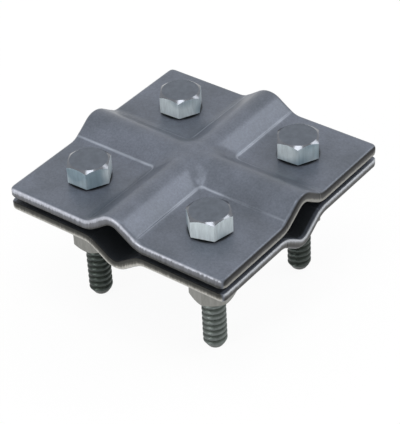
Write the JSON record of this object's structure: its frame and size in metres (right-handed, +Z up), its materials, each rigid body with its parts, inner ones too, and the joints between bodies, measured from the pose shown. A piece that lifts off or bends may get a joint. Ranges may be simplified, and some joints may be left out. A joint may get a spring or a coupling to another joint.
{
  "type": "square clamp",
  "caption": "Square clamp of two pressed steel plates with crossed channels for round rods, drawn together by a hexagon bolt and nut at each corner.",
  "frame": {"origin": "on the axis through the channels' crossing, at the level of the bolt tips on which the clamp stands", "axes": "+Z up, along the bolts towards their heads; one channel runs along X and the other along Y"},
  "size_m": [0.064, 0.064, 0.0405],
  "materials": {
    "plate": "zinc-plated pressed sheet, satin grey",
    "bolt": "bright bluish zinc plating",
    "nut": "zinc plating, satin",
    "washer": "zinc plating, satin"
  },
  "bodies": {
    "upper_plate": {"upper_plate": "plate"},
    "lower_plate": {"lower_plate": "plate", "flat_washer_left": "washer", "flat_washer_front": "washer", "flat_washer_right": "washer", "flat_washer_back": "washer", "spring_washer_left": "washer", "spring_washer_front": "washer", "spring_washer_right": "washer", "spring_washer_back": "washer"},
    "bolt_left": {"bolt_left": "bolt"},
    "nut_left": {"nut_left": "nut"},
    "bolt_front": {"bolt_front": "bolt"},
    "nut_front": {"nut_front": "nut"},
    "bolt_right": {"bolt_right": "bolt"},
    "nut_right": {"nut_right": "nut"},
    "bolt_back": {"bolt_back": "bolt"},
    "nut_back": {"nut_back": "nut"}
  },
  "joints": [
    {"name": "plate_opening", "type": "slide", "parent": "upper_plate", "child": "lower_plate", "axis": [0, 0, -1], "range_m": [-0.00145, 0.01245]},
    {"name": "nut_left_turn", "type": "hinge", "parent": "lower_plate", "child": "nut_left", "pos_m": [-0.018, -0.018, 0.0168], "axis": [0, 0, -1], "range_deg": [-540, 4500]},
    {"name": "bolt_left_turn", "type": "hinge", "parent": "upper_plate", "child": "bolt_left", "pos_m": [-0.018, -0.018, 0], "axis": [0, 0, 1], "continuous": true},
    {"name": "nut_front_turn", "type": "hinge", "parent": "lower_plate", "child": "nut_front", "pos_m": [0.018, -0.018, 0.0168], "axis": [0, 0, -1], "range_deg": [-540, 4500]},
    {"name": "bolt_front_turn", "type": "hinge", "parent": "upper_plate", "child": "bolt_front", "pos_m": [0.018, -0.018, 0], "axis": [0, 0, 1], "continuous": true},
    {"name": "nut_right_turn", "type": "hinge", "parent": "lower_plate", "child": "nut_right", "pos_m": [0.018, 0.018, 0.0168], "axis": [0, 0, -1], "range_deg": [-540, 4500]},
    {"name": "bolt_right_turn", "type": "hinge", "parent": "upper_plate", "child": "bolt_right", "pos_m": [0.018, 0.018, 0], "axis": [0, 0, 1], "continuous": true},
    {"name": "nut_back_turn", "type": "hinge", "parent": "lower_plate", "child": "nut_back", "pos_m": [-0.018, 0.018, 0.0168], "axis": [0, 0, -1], "range_deg": [-540, 4500]},
    {"name": "bolt_back_turn", "type": "hinge", "parent": "upper_plate", "child": "bolt_back", "pos_m": [-0.018, 0.018, 0], "axis": [0, 0, 1], "continuous": true}
  ],
  "couplings": [
    {"joint": "nut_left_turn", "follows": "plate_opening", "rad_per_m": 6283.2},
    {"joint": "nut_front_turn", "follows": "plate_opening", "rad_per_m": 6283.2},
    {"joint": "nut_right_turn", "follows": "plate_opening", "rad_per_m": 6283.2},
    {"joint": "nut_back_turn", "follows": "plate_opening", "rad_per_m": 6283.2}
  ]
}
